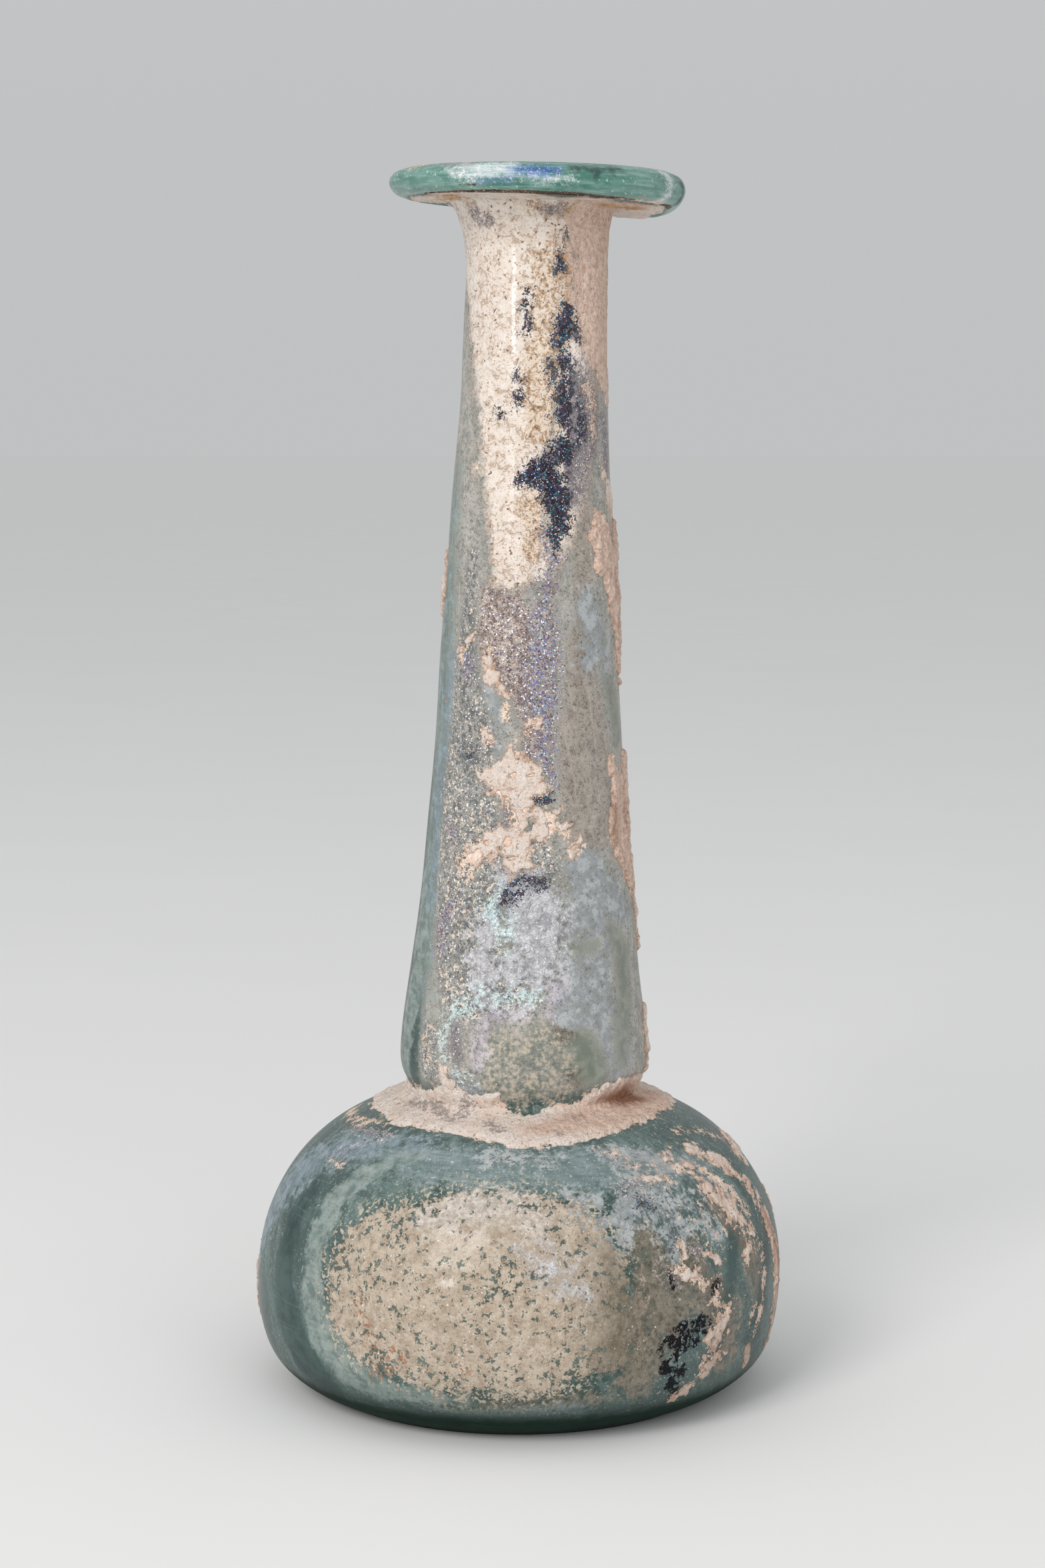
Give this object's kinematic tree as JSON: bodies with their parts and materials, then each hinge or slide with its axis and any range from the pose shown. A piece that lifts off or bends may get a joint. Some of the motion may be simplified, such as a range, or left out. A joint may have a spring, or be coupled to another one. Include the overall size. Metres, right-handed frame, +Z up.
{
  "type": "glass flask",
  "caption": "Hollow blown-glass flask with a squat rounded body, a long tapering neck pinched at its foot, and a broad folded disc rim, in weathered blue-green glass.",
  "frame": {"origin": "on the floor under the centre of the body", "axes": "+Z up, -Y towards the viewer, +X to the viewer's right, the side that the neck leans towards"},
  "size_m": [0.0658, 0.0658, 0.1503],
  "materials": {
    "weathered_glass": "blue-green glass, dulled by burial, with grey film, iridescence and patches of pinkish soil"
  },
  "bodies": {
    "root": {"flask": "weathered_glass"}
  },
  "joints": []
}
